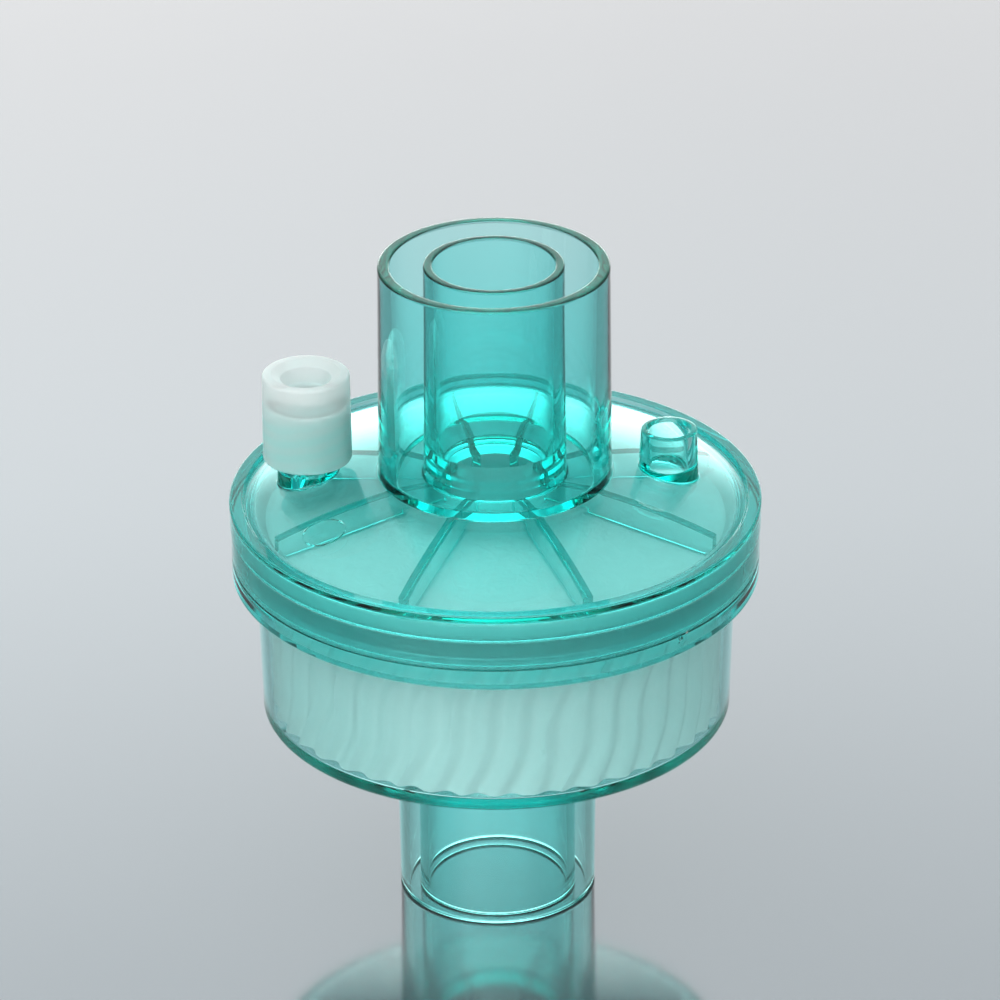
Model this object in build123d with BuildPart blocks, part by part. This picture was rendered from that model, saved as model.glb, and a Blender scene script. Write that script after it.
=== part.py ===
from build123d import *
import os
from math import hypot, sqrt

os.makedirs("parts", exist_ok=True)

# A breathing circuit filter with 22 mm outside and 15 mm inside connectors at both ends.
# Millimetres, +Z up. The origin is the centre of the patient port's end face, on the flow axis,
# and the filter stands on that port with its machine port on top.

# Stack of heights, from the patient port's end upwards
port_length = 19.0
floor_rise = 4.12
cup_depth = 16.38
flange_thickness = 2.4
skirt_height = 6.4
lid_rise = 2.95
machine_port_length = 24.45
cup_bottom_z = port_length + floor_rise
flange_bottom_z = cup_bottom_z + cup_depth
parting_z = flange_bottom_z + flange_thickness
lip_top_z = parting_z + skirt_height
lid_junction_z = lip_top_z + lid_rise
overall_height = lid_junction_z + machine_port_length

# Connectors, tapered 1 in 40 on the diameter behind a short straight land at each mouth
taper = 1 / 80
mouth_land = 3.0
tube_land_z = overall_height - mouth_land
port_male_22_r = 10.95
port_female_15_r = 7.735
socket_female_22_r = 11.185
tube_male_15_r = 7.6
tube_end_round = 0.35

# Machine port: the outer socket tube and the tube inside it, joined by a web
socket_wall = 1.315
socket_draft = 0.25
web_step = 0.25
web_thickness = 1.3
tube_wall = 1.0
tube_bore_draft = 0.15
throat_step = 0.6
throat_length = 3.4
socket_outer_top_r = socket_female_22_r + socket_wall
socket_outer_base_r = socket_outer_top_r + socket_draft
socket_floor_z = lid_junction_z + web_step
throat_bottom_z = socket_floor_z - web_thickness
tube_step_z = throat_bottom_z + throat_length
tube_male_15_base_r = tube_male_15_r + taper * (tube_land_z - socket_floor_z)
socket_female_22_base_r = socket_female_22_r - taper * (tube_land_z - socket_floor_z)
tube_bore_top_r = tube_male_15_r - tube_wall
tube_bore_low_r = tube_bore_top_r - tube_bore_draft
tube_throat_r = tube_bore_low_r - throat_step

# Rim and lip
rim_r = 29.05
rim_draft = 0.1
rim_base_r = rim_r - rim_draft
lip_width = 1.5
lip_inner_draft = 0.25
lip_height = 1.0
lip_round = 0.2
parting_round = 0.15
lip_inner_r = rim_r - lip_width

# Lid, a shallow dome between the socket tube and the lip. Its section is an arc that stands
# lid_crown proud of the straight line between its ends.
lid_thickness = 1.5
lid_crown = 0.635
lid_foot_r = lip_inner_r - lip_inner_draft
lid_foot_z = lip_top_z - lip_height
lid_run = lid_foot_r - socket_outer_base_r
lid_fall = lid_junction_z - lid_foot_z
lid_middle_r = (socket_outer_base_r + lid_foot_r) / 2
lid_chord = hypot(lid_run, lid_fall)
lid_arc_r = lid_chord**2 / (8 * lid_crown) + lid_crown / 2
lid_arc_centre_r = lid_middle_r - lid_fall / lid_chord * (lid_arc_r - lid_crown)
lid_arc_centre_z = (lid_junction_z + lid_foot_z) / 2 - lid_run / lid_chord * (lid_arc_r - lid_crown)
chamber_corner = 1.0
chamber_top_r = socket_outer_base_r - chamber_corner

# Joint of the two mouldings: a spigot inside the skirt, with the pad held under a clamp ring
joint_clearance = 0.1
skirt_wall = 1.8
spigot_wall = 0.95
spigot_rise = 0.2
pad_seat_step = 0.3
pad_ledge = 0.8
pad_thickness = 2.2
pad_rib_clearance = 0.05
pad_shoulder_width = 0.8
pad_fold_width = 0.7
clamp_width = 1.1
skirt_inner_r = rim_r - skirt_wall
spigot_r = skirt_inner_r - joint_clearance
pad_recess_r = spigot_r - spigot_wall
pad_r = pad_recess_r - joint_clearance
pad_seat_z = parting_z + pad_seat_step
pad_top_z = pad_seat_z + pad_thickness
spigot_top_z = pad_top_z + spigot_rise
skirt_step_z = spigot_top_z + joint_clearance
clamp_outer_r = pad_r
clamp_inner_r = clamp_outer_r - clamp_width
pad_shoulder_r = clamp_inner_r - pad_shoulder_width
pad_fold_r = clamp_inner_r - pad_fold_width

# Ribs under the lid, which the pad bears on, and on the floor, which carry the paper roll
rib_count = 8
rib_start_angle = 22.5
rib_thickness = 0.8
rib_root = 0.5
lid_rib_depth = 2.1
lid_rib_gap = 0.15
lid_rib_inner_z = throat_bottom_z - lid_rib_depth
lid_rib_outer_z = pad_top_z + lid_rib_gap
lid_rib_outer_r = clamp_inner_r + rib_root

# Cup of the patient housing and its conical floor
cup_wall = 0.9
cup_draft = 0.43
cup_corner_round = 0.5
flange_round = 0.3
floor_thickness = 1.25
floor_edge_width = 0.67
cup_top_r = pad_recess_r - pad_ledge + cup_wall
cup_base_r = cup_top_r - cup_draft
cup_floor_r = cup_base_r - cup_wall
floor_inner_r = port_male_22_r + taper * (port_length - mouth_land)
floor_outer_r = cup_base_r - floor_edge_width
floor_slope = floor_rise / (floor_outer_r - floor_inner_r)

# Patient port: the 22 mm male tube with the 15 mm female tube inside it and a gap between them
port_wall = 1.1
port_inner_wall = 0.915
port_gap_draft = 0.1
port_web = 0.8
port_gap_outer_r = port_male_22_r - port_wall
port_gap_top_r = port_gap_outer_r - port_gap_draft
port_gap_inner_r = port_female_15_r + port_inner_wall
port_gap_z = port_length - port_web
port_bore_top_r = port_female_15_r - taper * (port_length - mouth_land)

# Paper roll of the heat and moisture exchanger
roll_clearance = 0.22
roll_headroom = 0.8
roll_core_r = 1.5
roll_flutes = 44
flute_r = 1.6
flute_depth = 0.35
roll_r = cup_floor_r - roll_clearance
roll_top_z = pad_seat_z - roll_headroom


def lid_z(r):
    """Height of the lid's outer face at the radius r."""
    return lid_arc_centre_z + sqrt(lid_arc_r**2 - (r - lid_arc_centre_r) ** 2)


def lid_under_z(r):
    """Height of the lid's inner face at the radius r."""
    return lid_arc_centre_z + sqrt((lid_arc_r - lid_thickness) ** 2 - (r - lid_arc_centre_r) ** 2)


def rib_foot_z(r):
    """Height of the lid ribs' lower edge at the radius r."""
    fall = (lid_rib_inner_z - lid_rib_outer_z) / (lid_rib_outer_r - tube_throat_r)
    return lid_rib_inner_z - fall * (r - tube_throat_r)


def pad_top(r):
    """Height of the pad's domed face at the radius r, just under the ribs."""
    return rib_foot_z(r) - pad_rib_clearance


def floor_z(r):
    """Height of the cup floor's lower face at the radius r."""
    return port_length + floor_slope * (r - floor_inner_r)


def round_corners(radius, *corners):
    """Round the corners of the sketch in hand that lie nearest the (r, z) points given."""
    fillet([vertices().sort_by_distance((r, z, 0))[0] for r, z in corners], radius)


# Floor ribs, which carry the paper roll clear of the floor
floor_rib_height = 0.3
floor_rib_setback = 0.75
floor_rib_top_z = floor_z(cup_floor_r) + floor_thickness + floor_rib_height
floor_rib_inner_r = port_bore_top_r + floor_rib_setback
floor_rib_outer_r = cup_floor_r + rib_root

# Bosses on the lid, behind its centre plane: the sampling port's stem and the cap's parking post
boss_y = 1.7
boss_foot_fillet = 0.2
boss_root = 0.6
boss_root_z = lid_under_z(clamp_inner_r) - boss_root
stem_inset = 4.55
stem_x = stem_inset - clamp_inner_r
stem_r = 3.35
stem_height = 8.6
stem_foot_z = lid_z(hypot(stem_x, boss_y))
stem_top_z = stem_foot_z + stem_height
stem_axis = Axis((stem_x, boss_y, 0), (0, 0, 1))
stem_plane = Plane((stem_x, boss_y, 0), x_dir=(1, 0, 0), z_dir=(0, -1, 0))
lug_reach = 0.55
lug_width = 4.0
lug_height = 1.5
lug_below_top = 0.3
lug_r = stem_r + lug_reach
luer_taper = 0.03
luer_mouth_r = 2.14
luer_depth = 8.0
sample_passage_r = 1.2
post_inset = 6.05
post_x = clamp_inner_r - post_inset
post_top_r = 3.05
post_draft = 0.39
post_height = 5.0
post_foot_z = lid_z(hypot(post_x, boss_y))
post_top_z = post_foot_z + post_height
post_base_r = post_top_r + post_draft
post_hole_r = 2.2
post_hole_depth = 4.5
post_mouth_chamfer = 0.35
post_rim_round = 0.2
post_axis = Axis((post_x, boss_y, 0), (0, 0, 1))
post_plane = Plane((post_x, boss_y, 0), x_dir=(1, 0, 0), z_dir=(0, -1, 0))

# Cap of the sampling port, seated on the stem's top
cap_clearance_below = 2.2
cap_height = 10.1
cap_wall = 0.87
cap_draft = 0.1
cap_web = 1.2
cap_round = 0.3
thread_clearance = 0.1
cone_clearance = 0.05
plug_length = 6.0
recess_r = 2.7
recess_mouth_width = 1.0
recess_chamfer_depth = 0.6
cap_floor_z = stem_top_z
cap_bottom_z = stem_foot_z + cap_clearance_below
cap_top_z = cap_bottom_z + cap_height
cap_collar_r = lug_r + thread_clearance
cap_base_r = cap_collar_r + cap_wall
cap_top_r = cap_base_r - cap_draft
plug_r = luer_mouth_r - cone_clearance
recess_floor_z = cap_floor_z + cap_web
recess_mouth_r = recess_r + recess_mouth_width

# Cutting profiles run this far past the faces they open
overshoot = 1.0

# Machine housing
with BuildPart() as machine_housing:
    # Outer form: the socket tube, the lid, the lip and the skirt, still solid
    with BuildSketch(Plane.XZ):
        with BuildLine():
            Polyline(
                (socket_outer_base_r, lid_junction_z),
                (socket_outer_top_r, overall_height),
                (0, overall_height),
                (0, parting_z),
                (rim_base_r, parting_z),
                (rim_r, lip_top_z),
                (lip_inner_r, lip_top_z),
                (lid_foot_r, lid_foot_z),
            )
            ThreePointArc(
                (lid_foot_r, lid_foot_z),
                (lid_middle_r, lid_z(lid_middle_r)),
                (socket_outer_base_r, lid_junction_z),
            )
        make_face()
        round_corners(lip_round, (rim_r, lip_top_z), (lip_inner_r, lip_top_z), (lid_foot_r, lid_foot_z))
        round_corners(parting_round, (rim_base_r, parting_z))
    revolve(axis=Axis.Z)
    # Stem of the sampling port with two lugs for its cap
    with BuildSketch(Plane.XY.offset(boss_root_z)):
        with Locations((stem_x, boss_y)):
            Circle(stem_r)
    extrude(amount=stem_top_z - boss_root_z)
    fillet(edges(Select.LAST).filter_by(GeomType.BSPLINE), boss_foot_fillet)
    # Post that parks the cap while a sampling line is fitted
    with BuildSketch(post_plane):
        with BuildLine():
            Polyline(
                (0, boss_root_z),
                (post_base_r, boss_root_z),
                (post_top_r, post_top_z),
                (0, post_top_z),
                close=True,
            )
        make_face()
        round_corners(post_rim_round, (post_top_r, post_top_z))
    revolve(axis=post_axis)
    fillet(edges(Select.LAST).filter_by(GeomType.BSPLINE), boss_foot_fillet)
    # Space round the inner tube, where a 22 mm male cone enters
    with BuildSketch(Plane.XZ):
        with BuildLine():
            Polyline(
                (tube_male_15_base_r, socket_floor_z),
                (tube_male_15_r, tube_land_z),
                (tube_male_15_r, overall_height + overshoot),
                (socket_female_22_r, overall_height + overshoot),
                (socket_female_22_r, tube_land_z),
                (socket_female_22_base_r, socket_floor_z),
                close=True,
            )
        make_face()
    revolve(axis=Axis.Z, mode=Mode.SUBTRACT)
    # Flow path: the tube's bore, its throat and the chamber over the pad
    with BuildSketch(Plane.XZ):
        with BuildLine():
            Polyline(
                (clamp_inner_r, lid_under_z(clamp_inner_r)),
                (clamp_inner_r, pad_top_z),
                (clamp_outer_r, pad_top_z),
                (clamp_outer_r, skirt_step_z),
                (skirt_inner_r, skirt_step_z),
                (skirt_inner_r, parting_z - overshoot),
                (0, parting_z - overshoot),
                (0, overall_height + overshoot),
                (tube_bore_top_r, overall_height + overshoot),
                (tube_bore_top_r, overall_height),
                (tube_bore_low_r, tube_step_z),
                (tube_throat_r, tube_step_z),
                (tube_throat_r, throat_bottom_z),
                (chamber_top_r, throat_bottom_z),
                (socket_outer_base_r, lid_under_z(socket_outer_base_r)),
            )
            ThreePointArc(
                (socket_outer_base_r, lid_under_z(socket_outer_base_r)),
                (lid_middle_r, lid_under_z(lid_middle_r)),
                (clamp_inner_r, lid_under_z(clamp_inner_r)),
            )
        make_face()
    revolve(axis=Axis.Z, mode=Mode.SUBTRACT)
    # Rounded ends of both tubes
    fillet(edges().group_by(Axis.Z)[-1], tube_end_round)
    # Ribs under the lid, from the throat out to the clamp ring
    with BuildSketch(Plane.XZ):
        with BuildLine():
            Polyline(
                (tube_throat_r, lid_rib_inner_z),
                (lid_rib_outer_r, lid_rib_outer_z),
                (lid_rib_outer_r, lid_z(clamp_inner_r) - rib_root),
                (chamber_top_r, throat_bottom_z + rib_root),
                (tube_throat_r, throat_bottom_z + rib_root),
                close=True,
            )
        make_face()
    lid_rib = extrude(amount=rib_thickness / 2, both=True, mode=Mode.PRIVATE)
    with PolarLocations(0, rib_count, start_angle=rib_start_angle):
        add(lid_rib)
    # Lugs of the stem
    with BuildSketch(Plane.XY.offset(stem_top_z - lug_below_top - lug_height)):
        with Locations((stem_x, boss_y)):
            Circle(lug_r)
            Rectangle(2 * lug_r, lug_width, mode=Mode.INTERSECT)
    extrude(amount=lug_height)
    # Female luer cone of the stem and the passage below it
    with BuildSketch(stem_plane):
        with BuildLine():
            Polyline(
                (0, boss_root_z - overshoot),
                (sample_passage_r, boss_root_z - overshoot),
                (sample_passage_r, stem_top_z - luer_depth),
                (luer_mouth_r - luer_taper * luer_depth, stem_top_z - luer_depth),
                (luer_mouth_r, stem_top_z),
                (luer_mouth_r, stem_top_z + overshoot),
                (0, stem_top_z + overshoot),
                close=True,
            )
        make_face()
    revolve(axis=stem_axis, mode=Mode.SUBTRACT)
    # Blind hole of the post
    with BuildSketch(post_plane):
        with BuildLine():
            Polyline(
                (0, post_top_z - post_hole_depth),
                (post_hole_r, post_top_z - post_hole_depth),
                (post_hole_r, post_top_z - post_mouth_chamfer),
                (post_hole_r + post_mouth_chamfer, post_top_z),
                (post_hole_r + post_mouth_chamfer, post_top_z + overshoot),
                (0, post_top_z + overshoot),
                close=True,
            )
        make_face()
    revolve(axis=post_axis, mode=Mode.SUBTRACT)
machine_housing.part.label = "machine_housing"
export_step(machine_housing.part, "parts/machine_housing.step")

# Patient housing
with BuildPart() as patient_housing:
    # Outer form: the port, the conical floor, the cup, the flange and the spigot, still solid
    with BuildSketch(Plane.XZ):
        with BuildLine():
            Polyline(
                (0, 0),
                (port_male_22_r, 0),
                (port_male_22_r, mouth_land),
                (floor_inner_r, port_length),
                (floor_outer_r, cup_bottom_z),
                (cup_base_r, cup_bottom_z),
                (cup_top_r, flange_bottom_z),
                (rim_base_r, flange_bottom_z),
                (rim_base_r, parting_z),
                (spigot_r, parting_z),
                (spigot_r, spigot_top_z),
                (0, spigot_top_z),
                close=True,
            )
        make_face()
        round_corners(cup_corner_round, (cup_base_r, cup_bottom_z), (cup_top_r, flange_bottom_z))
        round_corners(flange_round, (rim_base_r, flange_bottom_z), (port_male_22_r, 0))
        round_corners(parting_round, (rim_base_r, parting_z))
    revolve(axis=Axis.Z)
    # Flow path: the bore for a 15 mm male cone, the cup and the pad's recess
    with BuildSketch(Plane.XZ):
        with BuildLine():
            Polyline(
                (0, -overshoot),
                (port_female_15_r, -overshoot),
                (port_female_15_r, mouth_land),
                (port_bore_top_r, floor_z(port_bore_top_r) + floor_thickness),
                (cup_floor_r, floor_z(cup_floor_r) + floor_thickness),
                (cup_top_r - cup_wall, pad_seat_z),
                (pad_recess_r, pad_seat_z),
                (pad_recess_r, spigot_top_z + overshoot),
                (0, spigot_top_z + overshoot),
                close=True,
            )
        make_face()
    revolve(axis=Axis.Z, mode=Mode.SUBTRACT)
    # Gap between the port's two tubes
    with BuildSketch(Plane.XZ):
        with BuildLine():
            Polyline(
                (port_gap_inner_r, -overshoot),
                (port_gap_outer_r, -overshoot),
                (port_gap_outer_r, 0),
                (port_gap_top_r, port_gap_z),
                (port_gap_inner_r, port_gap_z),
                close=True,
            )
        make_face()
    revolve(axis=Axis.Z, mode=Mode.SUBTRACT)
    # Ribs on the floor, which carry the paper roll
    with BuildSketch(Plane.XZ):
        with BuildLine():
            Polyline(
                (floor_rib_inner_r, floor_z(floor_rib_inner_r) + rib_root),
                (floor_rib_outer_r, floor_z(floor_rib_outer_r) + rib_root),
                (floor_rib_outer_r, floor_rib_top_z),
                (floor_rib_inner_r, floor_rib_top_z),
                close=True,
            )
        make_face()
    floor_rib = extrude(amount=rib_thickness / 2, both=True, mode=Mode.PRIVATE)
    with PolarLocations(0, rib_count, start_angle=rib_start_angle):
        add(floor_rib)
patient_housing.part.label = "patient_housing"
export_step(patient_housing.part, "parts/patient_housing.step")

# Filter pad, clamped flat at its edge and domed up against the lid's ribs
with BuildPart() as filter_pad:
    with BuildSketch(Plane.XZ):
        with BuildLine():
            Polyline(
                (0, pad_top(tube_throat_r)),
                (tube_throat_r, pad_top(tube_throat_r)),
                (pad_shoulder_r, pad_top(pad_shoulder_r)),
                (clamp_inner_r, pad_top_z),
                (pad_r, pad_top_z),
                (pad_r, pad_seat_z),
                (pad_fold_r, pad_seat_z),
                (pad_shoulder_r - pad_fold_width, pad_top(pad_shoulder_r) - pad_thickness),
                (tube_throat_r, pad_top(tube_throat_r) - pad_thickness),
                (0, pad_top(tube_throat_r) - pad_thickness),
                close=True,
            )
        make_face()
    revolve(axis=Axis.Z)
filter_pad.part.label = "filter_pad"
export_step(filter_pad.part, "parts/filter_pad.step")

# Paper roll, fluted on the outside by its corrugation
with BuildPart() as hme_roll:
    with BuildSketch(Plane.XY.offset(floor_rib_top_z)):
        Circle(roll_r)
        Circle(roll_core_r, mode=Mode.SUBTRACT)
        with PolarLocations(roll_r + flute_r - flute_depth, roll_flutes):
            Circle(flute_r, mode=Mode.SUBTRACT)
    extrude(amount=roll_top_z - floor_rib_top_z)
hme_roll.part.label = "hme_roll"
export_step(hme_roll.part, "parts/hme_roll.step")

# Cap of the sampling port: the collar, the male luer plug inside it and the finger recess on top
with BuildPart() as luer_cap:
    with BuildSketch(stem_plane):
        with BuildLine():
            Polyline(
                (0, cap_floor_z - plug_length),
                (plug_r - luer_taper * plug_length, cap_floor_z - plug_length),
                (plug_r, cap_floor_z),
                (cap_collar_r, cap_floor_z),
                (cap_collar_r, cap_bottom_z),
                (cap_base_r, cap_bottom_z),
                (cap_top_r, cap_top_z),
                (recess_mouth_r, cap_top_z),
                (recess_r, cap_top_z - recess_chamfer_depth),
                (recess_r, recess_floor_z),
                (0, recess_floor_z),
                close=True,
            )
        make_face()
        round_corners(cap_round, (cap_base_r, cap_bottom_z), (cap_top_r, cap_top_z))
    revolve(axis=stem_axis)
luer_cap.part.label = "luer_cap"
export_step(luer_cap.part, "parts/luer_cap.step")
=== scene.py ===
import math

import bmesh
import bpy
import numpy as np
from mathutils import Matrix, Vector


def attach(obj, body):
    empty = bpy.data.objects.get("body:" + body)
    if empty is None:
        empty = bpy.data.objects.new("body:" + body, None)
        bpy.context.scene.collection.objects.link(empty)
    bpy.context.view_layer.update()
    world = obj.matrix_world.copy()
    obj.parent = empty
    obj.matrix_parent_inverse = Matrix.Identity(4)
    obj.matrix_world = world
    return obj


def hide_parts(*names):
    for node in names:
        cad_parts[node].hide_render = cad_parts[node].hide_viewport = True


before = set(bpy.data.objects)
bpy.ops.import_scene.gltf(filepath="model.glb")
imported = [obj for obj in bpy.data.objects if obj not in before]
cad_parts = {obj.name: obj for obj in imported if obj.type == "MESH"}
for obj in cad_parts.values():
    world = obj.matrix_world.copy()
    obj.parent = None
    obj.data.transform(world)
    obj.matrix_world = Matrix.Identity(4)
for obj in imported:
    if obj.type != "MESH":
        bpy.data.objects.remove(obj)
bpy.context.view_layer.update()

MM = 0.001

# Sizes are in millimetres and follow the CAD source within about 0.1 mm, except where a comment
# says otherwise. Heights first.
HEIGHT = 75.7
JUNCTION = 51.25
SOCKET_FLOOR = 51.5
THROAT_BOTTOM = 50.2
LIP_TOP = 48.3
CLAMP_FOOT = 44.7
SPIGOT_TOP = 44.6
PAD_SEAT = 42.2
PARTING = 41.9
PARTING_GAP = 0.02
FLANGE_BOTTOM = 39.5
CUP_BOTTOM = 23.12
PORT_TOP = 19.0
GAP_TOP = 18.2

# Radii about the flow axis
RIM_R = 29.05
RIM_BASE_R = 28.93
SKIRT_R = 27.25
SPIGOT_R = 27.15
RECESS_R = 26.2
SOCKET_R = 11.185
SOCKET_BASE_R = 12.75
TUBE_R = 7.6
TUBE_BORE_R = 6.6
THROAT_R = 5.85
PORT_R = 10.95
PORT_BORE_R = 7.735
CONE_LAND = 3
CONE_LENGTH = 80  # a cone gains 1 mm of radius over this length

# Lid: an arc with its centre at (r, z). It is flatter towards the lip than in the CAD.
LID_ARC_R = 70.95
LID_ARC_CENTRE = (4.05, -19.17)
LID_THICKNESS = 1.5

# Floor of the cup
FLOOR_IN_R = 11.15
FLOOR_OUT_R = 25.2
FLOOR_SLOPE = 4.12 / (FLOOR_OUT_R - FLOOR_IN_R)
FLOOR_THICKNESS = 1.25

# Ribs, eight under the lid and eight on the floor. The lid's are wider than in the CAD, as wide
# as they look through the plastic.
RIB_ANGLES = [math.radians(22.5 + 45 * k) for k in range(8)]
RIB_FOOT = 48.1
RIB_FALL = 3.55
RIB_RUN = 19.65
LID_RIB_WIDTH = 1.2
FLOOR_RIB_WIDTH = 0.8
FLOOR_RIB_TOP = 24.5

# Bosses on the lid, at (x, y)
STEM = (-20.45, 1.7)
STEM_R = 3.35
STEM_TOP = 58.4
POST = (18.95, 1.7)
POST_R = 3.27
POST_TOP = 55.2
EJECTOR_MARK = (-18.4, -11.6)
BOSS_ROOT = -0.65
BOSS_FILLET = 0.2

# Segments of the turned pieces
WALL_SEGMENTS = 256
PAD_SEGMENTS = 192
CAP_SEGMENTS = 128
BOSS_SEGMENTS = 96
HOLE_SEGMENTS = 64

# Small balls cut out of the mouldings: azimuth in degrees, r, z and radius
NICKS = [
    (-64.3, 28.95, 41.98, 0.16),
    (-62.9, 28.97, 41.96, 0.12),
    (-61.4, 28.96, 41.97, 0.10),
    (-45.6, 28.95, 41.98, 0.15),
    (-44.2, 28.96, 42.0, 0.12),
    (-110.5, 28.97, 43.9, 0.10),
]
BUBBLES = [
    (-46.9, 28.5, 41.35, 0.3),
    (-47.6, 28.7, 41.0, 0.14),
]


def lid_z(r, depth=0):
    """Height of the domed lid at a radius, or of the face that lies the given depth inside it."""
    centre_r, centre_z = LID_ARC_CENTRE
    return centre_z + math.sqrt((LID_ARC_R - depth) ** 2 - (r - centre_r) ** 2)


def floor_z(r):
    """Height of the cup floor's lower face."""
    return PORT_TOP + FLOOR_SLOPE * (r - FLOOR_IN_R)


def rib_foot_z(r):
    """Height of the lid ribs' lower edge, which presses on the fleece."""
    return RIB_FOOT - (r - THROAT_R) * RIB_FALL / RIB_RUN


# Building the meshes
def rounded(points, steps=5):
    """A closed outline from (r, z) points; a third value rounds that corner."""
    out = []
    count = len(points)
    for i, point in enumerate(points):
        here = np.array(point[:2], float)
        radius = point[2] if len(point) > 2 else 0
        if not radius:
            out.append(tuple(here))
            continue
        before = np.array(points[i - 1][:2], float) - here
        after = np.array(points[(i + 1) % count][:2], float) - here
        before /= np.linalg.norm(before)
        after /= np.linalg.norm(after)
        half = math.acos(float(np.clip(before @ after, -1, 1))) / 2
        back = radius / math.tan(half)
        inward = (before + after) / np.linalg.norm(before + after)
        centre = here + inward * radius / math.sin(half)
        start = here + before * back - centre
        end = here + after * back - centre
        sweep = math.atan2(start[0] * end[1] - start[1] * end[0], float(start @ end))
        for k in range(steps + 1):
            a = sweep * k / steps
            turn = np.array([[math.cos(a), -math.sin(a)], [math.sin(a), math.cos(a)]])
            out.append(tuple(centre + turn @ start))
    return out


def linked(name, mesh):
    """An object of the mesh, in the scene."""
    obj = bpy.data.objects.new(name, mesh)
    bpy.context.scene.collection.objects.link(obj)
    return obj


def new_mesh(name, verts, faces):
    """An object from points in millimetres, with its faces turned outwards."""
    mesh = bpy.data.meshes.new(name)
    mesh.from_pydata([tuple(c * MM for c in v) for v in verts], [], faces)
    bm = bmesh.new()
    bm.from_mesh(mesh)
    bmesh.ops.recalc_face_normals(bm, faces=bm.faces)
    bm.to_mesh(mesh)
    bm.free()
    return linked(name, mesh)


def applied(obj):
    """Replaces the mesh by what the modifiers make of it."""
    graph = bpy.context.evaluated_depsgraph_get()
    mesh = bpy.data.meshes.new_from_object(obj.evaluated_get(graph))
    obj.modifiers.clear()
    obj.data = mesh


def smooth(obj, angle=28):
    """Smooth shading that keeps edges sharper than the angle. Large faces give the normals,
    so a long wall stays straight beside the small faces of its rounded ends."""
    bm = bmesh.new()
    bm.from_mesh(obj.data)
    limit = math.radians(angle)
    for face in bm.faces:
        face.smooth = True
    for edge in bm.edges:
        edge.smooth = len(edge.link_faces) == 2 and edge.calc_face_angle(0) < limit
    bm.to_mesh(obj.data)
    bm.free()
    mod = obj.modifiers.new("normals", "WEIGHTED_NORMAL")
    mod.mode = "FACE_AREA_WITH_ANGLE"
    mod.keep_sharp = True
    applied(obj)


def lathe(name, outline, centre=(0, 0), segments=WALL_SEGMENTS, shift=None):
    """Turns a closed (r, z) outline about a vertical axis. Points at r = 0 become poles.
    shift(x, y, k) adds a height to point k of the outline at that place."""
    poles = [r < 1e-6 for r, _ in outline]
    verts, index = [], {}
    for k, (r, z) in enumerate(outline):
        for s in range(1 if poles[k] else segments):
            a = 2 * math.pi * s / segments
            x = centre[0] + r * math.cos(a)
            y = centre[1] + r * math.sin(a)
            index[k, s] = len(verts)
            verts.append((x, y, z + (shift(x, y, k) if shift else 0)))
    faces = []
    for k in range(len(outline)):
        n = (k + 1) % len(outline)
        if poles[k] and poles[n]:
            continue
        for s in range(segments):
            t = (s + 1) % segments
            if poles[k]:
                faces.append((index[k, 0], index[n, t], index[n, s]))
            elif poles[n]:
                faces.append((index[k, s], index[k, t], index[n, 0]))
            else:
                faces.append((index[k, s], index[k, t], index[n, t], index[n, s]))
    return new_mesh(name, verts, faces)


def sector(name, outline, centre, start, end, steps):
    """Part of a turned ring between two angles."""
    count = len(outline)
    verts = []
    for s in range(steps + 1):
        a = start + (end - start) * s / steps
        verts += [(centre[0] + r * math.cos(a), centre[1] + r * math.sin(a), z) for r, z in outline]
    last = steps * count
    faces = [tuple(range(count)), tuple(range(last + count - 1, last - 1, -1))]
    for s in range(steps):
        for k in range(count):
            n = (k + 1) % count
            here, there = s * count, (s + 1) * count
            faces.append((here + k, here + n, there + n, there + k))
    return new_mesh(name, verts, faces)


def plate(name, outline, thickness, angle, bevel):
    """A plate with the given (r, z) outline and bevelled edges, standing on the radius at the
    angle."""
    count = len(outline)
    c, s = math.cos(angle), math.sin(angle)
    verts = []
    for side in (-0.5, 0.5):
        for r, z in outline:
            t = side * thickness
            verts.append((r * c - t * s, r * s + t * c, z))
    faces = [tuple(range(count)), tuple(range(2 * count - 1, count - 1, -1))]
    faces += [(k, count + k, count + (k + 1) % count, (k + 1) % count) for k in range(count)]
    obj = new_mesh(name, verts, faces)
    bm = bmesh.new()
    bm.from_mesh(obj.data)
    bmesh.ops.bevel(
        bm, geom=bm.edges[:], offset=bevel * MM, segments=2, affect="EDGES", profile=0.5
    )
    bm.to_mesh(obj.data)
    bm.free()
    return obj


def pits(name, places):
    """Small balls (azimuth in degrees, r, z, radius) that are cut out as bubbles and nicks."""
    balls = []
    for azimuth, r, z, size in places:
        bm = bmesh.new()
        bmesh.ops.create_icosphere(bm, subdivisions=3, radius=size * MM)
        a = math.radians(azimuth)
        where = (r * math.cos(a) * MM, r * math.sin(a) * MM, z * MM)
        bmesh.ops.translate(bm, verts=bm.verts, vec=where)
        mesh = bpy.data.meshes.new(name)
        bm.to_mesh(mesh)
        bm.free()
        balls.append(linked(name, mesh))
    return joined(name, balls)


def joined(name, objs):
    """One object of the objects given, which don't touch each other."""
    bm = bmesh.new()
    for obj in objs:
        bm.from_mesh(obj.data)
    mesh = bpy.data.meshes.new(name)
    bm.to_mesh(mesh)
    bm.free()
    for obj in objs:
        bpy.data.objects.remove(obj)
    return linked(name, mesh)


def combine(obj, tool, operation):
    """Unites the tool with the object, or cuts it out, and removes the tool."""
    mod = obj.modifiers.new("combine", "BOOLEAN")
    mod.operation = operation
    mod.solver = "EXACT"
    mod.object = tool
    applied(obj)
    bpy.data.objects.remove(tool)


def on_lid(last):
    """Heights of the outline's points 0 to last count from the lid's outer face."""
    def shift(x, y, k):
        return lid_z(math.hypot(x, y)) if k <= last else 0
    return shift


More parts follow.
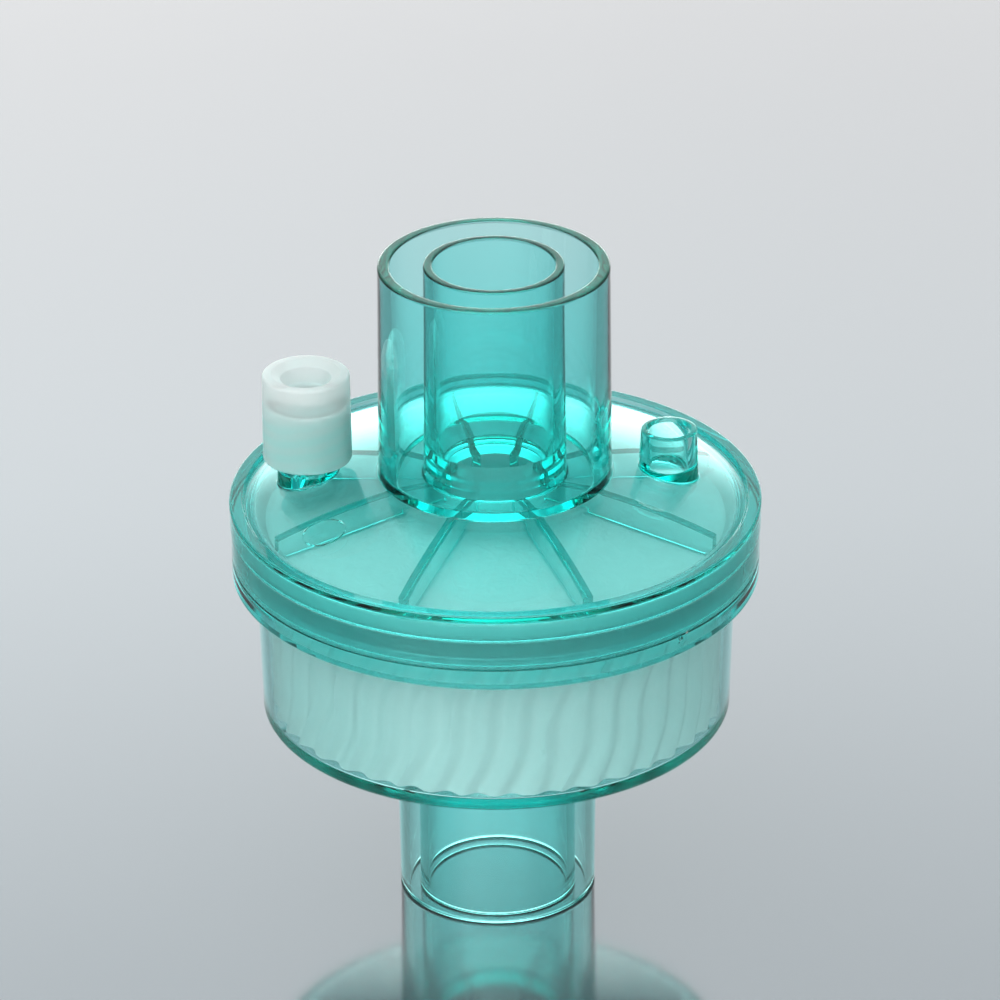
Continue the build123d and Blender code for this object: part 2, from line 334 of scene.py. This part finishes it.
def boss(name, r, top, place):
    """A round boss on the lid. Its foot follows the dome, and top is the outline above it."""
    foot = [
        (0, BOSS_ROOT),
        (r + BOSS_FILLET, BOSS_ROOT),
        (r + BOSS_FILLET, -0.02),
        (r + 0.08, 0.03),
        (r + 0.02, 0.11),
        (r, BOSS_FILLET),
    ]
    return lathe(name, foot + top, place, BOSS_SEGMENTS, on_lid(len(foot) - 1))


def machine_housing():
    """Upper moulding: the turned wall first, then its bosses, cuts and ribs. The lip and the
    throat follow the photograph. The clamp ring's inner wall stands further out than in the CAD,
    where it mirrors the light into a bright band that the photograph doesn't have."""
    land = HEIGHT - CONE_LAND
    cone = (land - SOCKET_FLOOR) / CONE_LENGTH
    clamp_r = 26.45
    body = lathe("vis_machine_housing", rounded([
        (THROAT_R, THROAT_BOTTOM, 0.15),
        (THROAT_R, 51.7, 0.1),
        (6.45, 55.0, 0.3),
        (TUBE_BORE_R, HEIGHT, 0.25),
        (TUBE_R, HEIGHT, 0.25),
        (TUBE_R, land),
        (TUBE_R + cone, SOCKET_FLOOR, 0.35),
        (SOCKET_R - cone, SOCKET_FLOOR, 0.35),
        (SOCKET_R, land),
        (SOCKET_R, HEIGHT, 0.25),
        (12.5, HEIGHT, 0.3),
        (SOCKET_BASE_R, JUNCTION, 0.2),
        *[(r, lid_z(r)) for r in np.linspace(13.5, 27.0, 28)],
        (27.35, lid_z(27.35), 0.12),
        (27.65, LIP_TOP, 0.15),
        (RIM_R, LIP_TOP, 0.25),
        (29.03, 45.3, 0.05),
        (RIM_BASE_R, 45.1, 0.05),
        (RIM_BASE_R, PARTING + PARTING_GAP, 0.15),
        (SKIRT_R, PARTING + PARTING_GAP, 0.1),
        (SKIRT_R, CLAMP_FOOT, 0.1),
        (26.6, CLAMP_FOOT, 0.1),
        (clamp_r, lid_z(clamp_r, LID_THICKNESS), 0.3),
        *[(r, lid_z(r, LID_THICKNESS)) for r in np.linspace(25.8, SOCKET_BASE_R, 24)],
        (SOCKET_BASE_R - 1, THROAT_BOTTOM, 0.3),
    ]))
    stem_end = [(STEM_R, 58.1), (3.26, 58.31), (3.05, STEM_TOP), (0, STEM_TOP)]
    post_end = [(3.06, 55.0), (3.0, 55.14), (2.86, POST_TOP), (0, POST_TOP)]
    stem = boss("stem", STEM_R, stem_end, STEM)
    post = boss("post", POST_R, post_end, POST)
    ring = [(2.14, -0.3), (2.4, -0.3), (2.4, 0), (2.27, 0.06), (2.14, 0)]
    mark = lathe("mark", ring, EJECTOR_MARK, BOSS_SEGMENTS, on_lid(len(ring) - 1))
    combine(body, joined("bosses", [stem, post, mark]), "UNION")

    # Two lugs on the stem, for the cap's thread
    lug = [(3.0, 56.6), (3.75, 56.6), (3.9, 56.8), (3.9, 57.9), (3.75, 58.1), (3.0, 58.1)]
    lugs = [
        sector("lug", lug, STEM, math.radians(middle - 30), math.radians(middle + 30), 16)
        for middle in (60, 240)
    ]
    combine(body, joined("lugs", lugs), "UNION")

    # Female luer cone with its passage, and the post's blind hole
    cone_outline = [
        (0, 45), (1.2, 45), (1.2, 50.4), (1.9, 50.4), (2.14, 58.1), (2.4, 58.6), (0, 58.6),
    ]
    hole_outline = [
        (0, 50.7), (1.9, 50.7), (2.12, 50.8), (2.2, 51.0), (2.2, 54.85), (2.35, 55.05),
        (2.6, 55.3), (0, 55.3),
    ]
    luer = lathe("luer", cone_outline, STEM, HOLE_SEGMENTS)
    hole = lathe("hole", hole_outline, POST, HOLE_SEGMENTS)
    combine(body, joined("holes", [luer, hole]), "DIFFERENCE")

    # Ribs from the throat to the clamp ring, with their tops inside the lid
    inner_r, outer_r, rise, in_lid = 5.87, 25.3, 50.7, 0.6
    rib = [
        (inner_r, RIB_FOOT),
        (outer_r, rib_foot_z(outer_r)),
        (outer_r, lid_z(25.0) - in_lid),
        (19, lid_z(19) - in_lid),
        (13, lid_z(13) - in_lid),
        (11.9, rise),
        (inner_r, rise),
    ]
    ribs = [plate("rib", rib, LID_RIB_WIDTH, angle, 0.15) for angle in RIB_ANGLES]
    combine(body, joined("ribs", ribs), "UNION")
    combine(body, pits("nicks", NICKS), "DIFFERENCE")
    smooth(body)
    return body


def patient_housing():
    """Lower moulding: one turned wall and the floor's ribs."""
    bore_top_r = PORT_BORE_R - 0.2
    cup_floor_r = 24.97
    body = lathe("vis_patient_housing", rounded([
        (PORT_BORE_R, 0, 0.2),
        (8.65, 0, 0.3),
        (8.65, GAP_TOP, 0.3),
        (9.75, GAP_TOP, 0.3),
        (9.85, 0, 0.25),
        (PORT_R, 0, 0.4),
        (PORT_R, CONE_LAND),
        (FLOOR_IN_R, PORT_TOP, 0.5),
        (FLOOR_OUT_R, CUP_BOTTOM, 0.3),
        (25.87, CUP_BOTTOM, 0.5),
        (26.3, FLANGE_BOTTOM, 0.4),
        (RIM_BASE_R, FLANGE_BOTTOM, 0.3),
        (RIM_BASE_R, PARTING - PARTING_GAP, 0.15),
        (SPIGOT_R, PARTING - PARTING_GAP, 0.1),
        (SPIGOT_R, SPIGOT_TOP, 0.15),
        (RECESS_R, SPIGOT_TOP, 0.15),
        (RECESS_R, PAD_SEAT, 0.1),
        (25.4, PAD_SEAT, 0.15),
        (cup_floor_r, floor_z(cup_floor_r) + FLOOR_THICKNESS, 0.4),
        (bore_top_r, floor_z(bore_top_r) + FLOOR_THICKNESS, 0.4),
        (PORT_BORE_R, CONE_LAND),
    ]))
    inner_r, outer_r, root = 8.28, 25.0, 0.5
    rib = [
        (inner_r, floor_z(inner_r) + root),
        (outer_r, floor_z(outer_r) + root),
        (outer_r, FLOOR_RIB_TOP),
        (inner_r, FLOOR_RIB_TOP),
    ]
    ribs = [plate("rib", rib, FLOOR_RIB_WIDTH, angle, 0.12) for angle in RIB_ANGLES]
    combine(body, joined("floor_ribs", ribs), "UNION")
    combine(body, pits("bubbles", BUBBLES), "DIFFERENCE")
    smooth(body)
    return body


def filter_pad():
    """Fleece: domed against the ribs. The raised shoulder at its edge is plainer in the CAD."""
    thickness, crown = 2.2, RIB_FOOT + 0.05
    edges = (THROAT_R, 7, 10, 14, 18, 22, 24.2)
    top = [(r, rib_foot_z(max(r, THROAT_R)) + 0.02) for r in edges]
    shoulder = [
        (24.9, 45.0), (25.3, 45.6), (25.65, 46.1), (25.95, 46.2), (RECESS_R, 45.9),
        (RECESS_R, 44.65), (26.05, 44.38), (26.05, 42.25), (24.4, 42.25), (23.6, 42.5),
    ]
    under = [(r, z - thickness) for r, z in top[-2::-1]]
    outline = [(0, crown), (3, crown), *top, *shoulder, *under, (0, 45.9)]
    pad = lathe("vis_filter_pad", outline, segments=PAD_SEGMENTS)
    smooth(pad, angle=40)
    return pad


def hme_roll():
    """Corrugated paper: a closed cylinder whose skin has slanted, uneven flutes."""
    flutes, levels, per_flute = 44, 48, 8
    low, high = FLOOR_RIB_TOP, 41.4
    outer_r, middle_r = 24.73, 24.4
    slant, bend, waves = math.radians(11.0), 0.55, 2.4
    around = flutes * per_flute
    rng = np.random.default_rng(7)
    phase = rng.normal(0, 0.10, flutes)
    depth = 0.55 + 0.25 * rng.random(flutes)
    verts, faces = [], []
    for k in range(levels + 1):
        h = k / levels
        z = low + (high - low) * h
        for s in range(around):
            flute = (s // per_flute) % flutes
            across = (s % per_flute) / per_flute
            wave = 0.5 + 0.5 * math.cos(2 * math.pi * across)
            r = outer_r - depth[flute] * (1 - wave)
            sway = bend * math.sin(math.pi * h * waves + phase[flute] * 6) / middle_r
            a = 2 * math.pi * s / around + slant * h + sway
            verts.append((r * math.cos(a), r * math.sin(a), z))
    for k in range(levels):
        here, above = k * around, (k + 1) * around
        for s in range(around):
            t = (s + 1) % around
            faces.append((here + s, here + t, above + t, above + s))
    faces.append(tuple(range(around - 1, -1, -1)))
    faces.append(tuple(levels * around + s for s in range(around)))
    roll = new_mesh("vis_hme_roll", verts, faces)
    smooth(roll, angle=50)
    return roll


def luer_cap():
    """Cap: its plug, collar, outside and finger recess in one outline."""
    plug_end, collar_end, top = 52.4, 52.0, 62.1
    collar_r = 4.0
    cap = lathe("vis_luer_cap", rounded([
        (0, plug_end),
        (1.91, plug_end, 0.25),
        (2.09, STEM_TOP, 0.2),
        (collar_r, STEM_TOP, 0.3),
        (collar_r, collar_end, 0.15),
        (4.87, collar_end, 0.3),
        (4.77, top, 0.35),
        (3.75, top, 0.12),
        (2.75, 61.55, 0.2),
        (2.6, 59.6, 0.3),
        (0, 59.6),
    ]), STEM, CAP_SEGMENTS)
    smooth(cap)
    return cap


# Materials. The helpers add nodes to a node tree and return the output that counts.
MIX_FACTOR, MIX_A, MIX_B = 0, 6, 7  # sockets of a Mix node that mixes colours


def feed(tree, socket, value):
    """Links another node's output to the socket, or sets a plain value on it."""
    if isinstance(value, bpy.types.NodeSocket):
        tree.links.new(value, socket)
    else:
        socket.default_value = value


def ramp(tree, value, stops):
    """A colour ramp over a value, with grey stops. A third value makes a stop bluer."""
    node = tree.nodes.new("ShaderNodeValToRGB")
    elements = node.color_ramp.elements
    while len(elements) < len(stops):
        elements.new(0.5)
    for element, (place, level, *blue) in zip(elements, stops):
        element.position = place
        shift = blue[0] if blue else 0
        element.color = (level * (1 - shift), level, level * (1 + shift * 0.4), 1)
    tree.links.new(value, node.inputs["Fac"])
    return node.outputs["Color"]


def spread(tree, value, low, high, to_low=0, to_high=1, kind="SMOOTHSTEP"):
    """Maps the range low to high on another one, with soft or straight ends."""
    node = tree.nodes.new("ShaderNodeMapRange")
    node.interpolation_type = kind
    node.inputs["From Min"].default_value = low
    node.inputs["From Max"].default_value = high
    node.inputs["To Min"].default_value = to_low
    node.inputs["To Max"].default_value = to_high
    tree.links.new(value, node.inputs["Value"])
    return node.outputs["Result"]


def blend(tree, kind, share, first, second):
    """Mixes two colours."""
    node = tree.nodes.new("ShaderNodeMix")
    node.data_type = "RGBA"
    node.blend_type = kind
    feed(tree, node.inputs[MIX_FACTOR], share)
    feed(tree, node.inputs[MIX_A], first)
    feed(tree, node.inputs[MIX_B], second)
    return node.outputs[2]


def maths(tree, operation, *values):
    """One operation on numbers or outputs."""
    node = tree.nodes.new("ShaderNodeMath")
    node.operation = operation
    for socket, value in zip(node.inputs, values):
        feed(tree, socket, value)
    return node.outputs["Value"]


def between(tree, value, low, high, fade):
    """1 between two levels and 0 outside them, with soft ends."""
    rise = spread(tree, value, low - fade, low)
    fall = spread(tree, value, high, high + fade, 1, 0)
    return maths(tree, "MULTIPLY", rise, fall)


def split(tree, vector):
    """The x, y and z of a vector."""
    node = tree.nodes.new("ShaderNodeSeparateXYZ")
    tree.links.new(vector, node.inputs["Vector"])
    return [node.outputs[axis] for axis in "XYZ"]


def own_place(tree):
    """The place on the piece, in its own coordinates."""
    return tree.nodes.new("ShaderNodeTexCoord").outputs["Object"]


def noise(tree, place, scale, detail=2, distortion=0):
    """Soft noise over a place, about 0.3 to 0.7."""
    node = tree.nodes.new("ShaderNodeTexNoise")
    node.inputs["Scale"].default_value = scale
    node.inputs["Detail"].default_value = detail
    node.inputs["Distortion"].default_value = distortion
    tree.links.new(place, node.inputs["Vector"])
    return node.outputs["Fac"]


def bump(tree, height, strength, distance):
    """A normal with fine relief. The distance is in metres."""
    node = tree.nodes.new("ShaderNodeBump")
    node.inputs["Strength"].default_value = strength
    node.inputs["Distance"].default_value = distance
    tree.links.new(height, node.inputs["Height"])
    return node.outputs["Normal"]


def layered(tree, share, first, second):
    """Mixes two shaders."""
    node = tree.nodes.new("ShaderNodeMixShader")
    feed(tree, node.inputs["Fac"], share)
    tree.links.new(first, node.inputs[1])
    tree.links.new(second, node.inputs[2])
    return node.outputs["Shader"]


def material(name):
    """A new material, its node tree and its Principled shader."""
    mat = bpy.data.materials.new(name)
    mat.use_nodes = True
    return mat, mat.node_tree, mat.node_tree.nodes["Principled BSDF"]


def clear_teal(name, density):
    """Clear tinted plastic, with the density of its tint per metre. The weld line at the parting
    is darkened with painted shade of the gap there, and the joint's inside and the cup's floor
    are less polished."""
    mat, tree, shader = material(name)
    shader.inputs["Transmission Weight"].default_value = 1
    shader.inputs["IOR"].default_value = 1.5
    shader.inputs["Specular Tint"].default_value = (0.5, 0.5, 0.5, 1)
    place = own_place(tree)
    x, y, level = split(tree, place)
    flat = tree.nodes.new("ShaderNodeCombineXYZ")
    tree.links.new(x, flat.inputs["X"])
    tree.links.new(y, flat.inputs["Y"])
    length = tree.nodes.new("ShaderNodeVectorMath")
    length.operation = "LENGTH"
    tree.links.new(flat.outputs["Vector"], length.inputs[0])
    radius = length.outputs["Value"]

    # Painted shade of the parting gap: a darker tint on the weld line, in the rim's skin on both
    # sides of the parting
    outer = spread(tree, radius, 28.55 * MM, 28.7 * MM)
    line = between(tree, level, (PARTING - 0.11) * MM, (PARTING + 0.11) * MM, 0.03 * MM)
    weld_painted_shade = maths(tree, "MULTIPLY", outer, line)
    tint = blend(tree, "MIX", weld_painted_shade, (1, 1, 1, 1), (0.05, 0.20, 0.19, 1))
    tree.links.new(tint, shader.inputs["Base Color"])

    # Rough zones: the cup's floor, and the faces that meet inside the rim
    floor = between(tree, level, 19.6 * MM, 24.0 * MM, 0.4 * MM)
    joint = between(tree, level, (PARTING - 0.1) * MM, 47.0 * MM, 0.05 * MM)
    inside = between(tree, radius, 26.1 * MM, 28.8 * MM, 0.03 * MM)
    welded = maths(tree, "MULTIPLY", joint, inside)
    polish = spread(tree, noise(tree, place, 90, 1), 0.3, 0.7, 0.012, 0.03, "LINEAR")
    coarse = maths(tree, "MAXIMUM", spread(tree, floor, 0, 1, 0, 0.22, "LINEAR"),
                   spread(tree, welded, 0, 1, 0, 0.35, "LINEAR"))
    tree.links.new(maths(tree, "MAXIMUM", polish, coarse), shader.inputs["Roughness"])

    # The tint grows with the depth of plastic that the light goes through
    absorb = tree.nodes.new("ShaderNodeVolumeAbsorption")
    absorb.inputs["Color"].default_value = (0.0, 0.948, 0.928, 1)
    absorb.inputs["Density"].default_value = density
    tree.links.new(absorb.outputs["Volume"], tree.nodes["Material Output"].inputs["Volume"])
    return mat


def fibrous(name, roughness, fibres, dark, pale, relief):
    """Paper or fleece. fibres is the noise's scale, detail and distortion, and relief is the
    bump's strength and its distance in metres."""
    mat, tree, shader = material(name)
    shader.inputs["Roughness"].default_value = roughness
    grain = noise(tree, own_place(tree), *fibres)
    shades = tree.nodes.new("ShaderNodeValToRGB")
    for element, colour in zip(shades.color_ramp.elements, (dark, pale)):
        element.color = (*colour, 1)
    tree.links.new(grain, shades.inputs["Fac"])
    tree.links.new(shades.outputs["Color"], shader.inputs["Base Color"])
    tree.links.new(bump(tree, grain, *relief), shader.inputs["Normal"])
    return mat


def milky():
    """Translucent white plastic. Towards the open end a painted teal tint and painted thread
    bands stand in for the stem and the thread seen through it.
    """
    mat, tree, shader = material("milky_plastic")
    tree.nodes.remove(shader)
    place = own_place(tree)
    grain = bump(tree, noise(tree, place, 400), 0.1, 0.0001)
    tilt = tree.nodes.new("ShaderNodeMapping")
    tilt.inputs["Rotation"].default_value = (0, math.radians(9), 0)
    tree.links.new(place, tilt.inputs["Vector"])
    turns = tree.nodes.new("ShaderNodeTexWave")
    turns.bands_direction = "Z"
    turns.inputs["Scale"].default_value = 180
    turns.inputs["Distortion"].default_value = 1.2
    tree.links.new(tilt.outputs["Vector"], turns.inputs["Vector"])
    # Painted show-through: the teal tint grows towards the open end, and slanted bands paint the
    # thread seen through the cap
    lower = spread(tree, split(tree, place)[2], 55.5 * MM, 61.5 * MM, 0.85, 0)
    painted_thread_bands = spread(tree, turns.outputs["Fac"], 0, 1, 0.72, 1)
    depth = maths(tree, "MULTIPLY", lower, painted_thread_bands)
    tint = blend(tree, "MIX", depth, (0.85, 0.88, 0.875, 1), (0.56, 0.94, 0.91, 1))

    matt = tree.nodes.new("ShaderNodeBsdfDiffuse")
    glow = tree.nodes.new("ShaderNodeBsdfTranslucent")
    for node in (matt, glow):
        tree.links.new(tint, node.inputs["Color"])
    glass = tree.nodes.new("ShaderNodeBsdfGlass")
    glass.inputs["Color"].default_value = (0.96, 0.985, 0.98, 1)
    glass.inputs["Roughness"].default_value = 0.3
    glass.inputs["IOR"].default_value = 1.45
    for node in (matt, glow, glass):
        tree.links.new(grain, node.inputs["Normal"])
    white = layered(tree, 0.5, matt.outputs["BSDF"], glow.outputs["BSDF"])
    surface = layered(tree, 0.4, white, glass.outputs["BSDF"])
    tree.links.new(surface, tree.nodes["Material Output"].inputs["Surface"])
    return mat


def dress(obj, mat, node, body="filter"):
    """Gives the piece its material, and tells the frame what it is."""
    obj.data.materials.clear()
    obj.data.materials.append(mat)
    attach(obj, body)
    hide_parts(node)


top_teal = clear_teal("clear_teal_top", 360)
cup_teal = clear_teal("clear_teal_cup", 290)
fleece = fibrous(
    "white_fleece", 0.9, (700, 8, 1.5), (0.57, 0.61, 0.59), (0.67, 0.70, 0.68), (0.4, 0.0002)
)
paper = fibrous(
    "corrugated_paper", 0.8, (1500, 6), (0.88, 0.91, 0.89), (0.96, 0.98, 0.965), (0.3, 0.0001)
)
dress(machine_housing(), top_teal, "machine_housing")
dress(patient_housing(), cup_teal, "patient_housing")
dress(filter_pad(), fleece, "filter_pad")
dress(hme_roll(), paper, "hme_roll")
dress(luer_cap(), milky(), "luer_cap", "cap")


def stage():
    """A pale gloss table that runs far back. It mirrors more where it is seen at a low angle."""
    side, near, far = 6, -4, 12  # metres
    mesh = bpy.data.meshes.new("table")
    corners = [(-side, near, 0), (side, near, 0), (side, far, 0), (-side, far, 0)]
    mesh.from_pydata(corners, [], [(0, 1, 2, 3)])
    table = linked("table", mesh)
    mat, tree, shader = material("gloss_table")
    tree.nodes.remove(shader)
    matt = tree.nodes.new("ShaderNodeBsdfDiffuse")
    matt.inputs["Color"].default_value = (0.065, 0.07, 0.08, 1)
    gloss = tree.nodes.new("ShaderNodeBsdfGlossy")
    gloss.inputs["Color"].default_value = (1, 1, 1, 1)
    rough = spread(tree, noise(tree, own_place(tree), 60, 4), 0, 1, 0.07, 0.10, "LINEAR")
    tree.links.new(rough, gloss.inputs["Roughness"])
    facing = tree.nodes.new("ShaderNodeLayerWeight")
    facing.inputs["Blend"].default_value = 0.5
    grazing = maths(tree, "POWER", facing.outputs["Facing"], 5)
    share = spread(tree, grazing, 0, 1, 0.37, 1.0, "LINEAR")
    surface = layered(tree, share, matt.outputs["BSDF"], gloss.outputs["BSDF"])
    tree.links.new(surface, tree.nodes["Material Output"].inputs["Surface"])
    mesh.materials.append(mat)


stage()

# The light tent's levels over the height of the direction, from 0 at the horizon to 1 overhead.
# A third value makes the light that much bluer.
BEHIND = [
    (0.0, 1.6), (0.25, 1.6), (0.36, 1.55), (0.45, 1.55, 0.07), (0.53, 1.06, 0.10),
    (0.64, 0.90, 0.10), (1.0, 1.8, 0.05),
]
GLOW = [(0.0, 2.6), (0.18, 2.3), (0.28, 0.8), (0.36, 0.0), (1.0, 0.0)]
SIDES = [(0.0, 0.25), (0.3, 0.45), (0.5, 0.75), (0.62, 1.3), (0.8, 1.8), (1.0, 1.8)]
FRONT = [(0.0, 1.1), (0.25, 1.3), (0.45, 2.0), (0.62, 4.0), (0.85, 4.0), (1.0, 1.8)]


def studio():
    """A light tent: bright low down behind the table, soft boxes high in front, dim sides."""
    world = bpy.data.worlds.new("studio")
    bpy.context.scene.world = world
    world.use_nodes = True
    world.cycles.sampling_method = "NONE"
    tree = world.node_tree
    background = tree.nodes["Background"]
    background.inputs["Strength"].default_value = 1.0
    place = tree.nodes.new("ShaderNodeTexCoord")
    x, y, z = split(tree, place.outputs["Generated"])
    away = maths(tree, "ABSOLUTE", x)
    sides = ramp(tree, z, SIDES)

    behind = ramp(tree, z, BEHIND)
    behind = blend(tree, "MULTIPLY", 1.0, behind, spread(tree, x, -0.14, 0.14, 1.03, 0.92))
    behind = blend(tree, "MIX", spread(tree, away, 0.16, 0.50), behind, sides)
    glow = ramp(tree, z, GLOW)
    glow = blend(tree, "MULTIPLY", 1.0, glow, spread(tree, away, 0.25, 0.60, 1.0, 0.0))
    behind = blend(tree, "ADD", 1.0, behind, glow)

    front = ramp(tree, z, FRONT)
    front = blend(tree, "MULTIPLY", 1.0, front, spread(tree, x, -0.7, 0.7, 1.12, 0.62))
    front = blend(tree, "MIX", spread(tree, away, 0.45, 0.85), front, sides)
    colour = blend(tree, "MIX", spread(tree, y, -0.3, 0.5), front, behind)
    tree.links.new(colour, background.inputs["Color"])


studio()


def camera():
    """The photograph's camera, fitted to the standard cones: its elevation, its distance from
    the target in metres and its lean, with the focal length in pixels of a 1000-pixel frame."""
    elevation, distance, lean = math.radians(26.754), 0.5988, math.radians(-0.364)
    focal_px, frame_px, sensor = 5482.15, 1000, 36
    target = Vector((0.000509, 0, 0.047404))
    ahead = Vector((0, math.cos(elevation), -math.sin(elevation)))
    level = Vector((1, 0, 0))
    upright = Vector((0, math.sin(elevation), math.cos(elevation)))
    right = level * math.cos(lean) + upright * math.sin(lean)
    up = upright * math.cos(lean) - level * math.sin(lean)
    data = bpy.data.cameras.new("camera")
    data.sensor_width = sensor
    data.lens = focal_px * sensor / frame_px
    data.clip_start = 0.01
    data.clip_end = 20
    cam = bpy.data.objects.new("camera", data)
    bpy.context.scene.collection.objects.link(cam)
    rows = Matrix((right, up, -ahead)).transposed().to_4x4()
    cam.matrix_world = Matrix.Translation(target - ahead * distance) @ rows
    bpy.context.scene.camera = cam


camera()

# Light passes many clear walls before it reaches the tent
WALL_BOUNCES = 18
scene = bpy.context.scene
scene.view_settings.view_transform = "Standard"
scene.cycles.max_bounces = WALL_BOUNCES
scene.cycles.transmission_bounces = WALL_BOUNCES
scene.cycles.glossy_bounces = WALL_BOUNCES
scene.cycles.diffuse_bounces = 3
scene.cycles.volume_bounces = 0
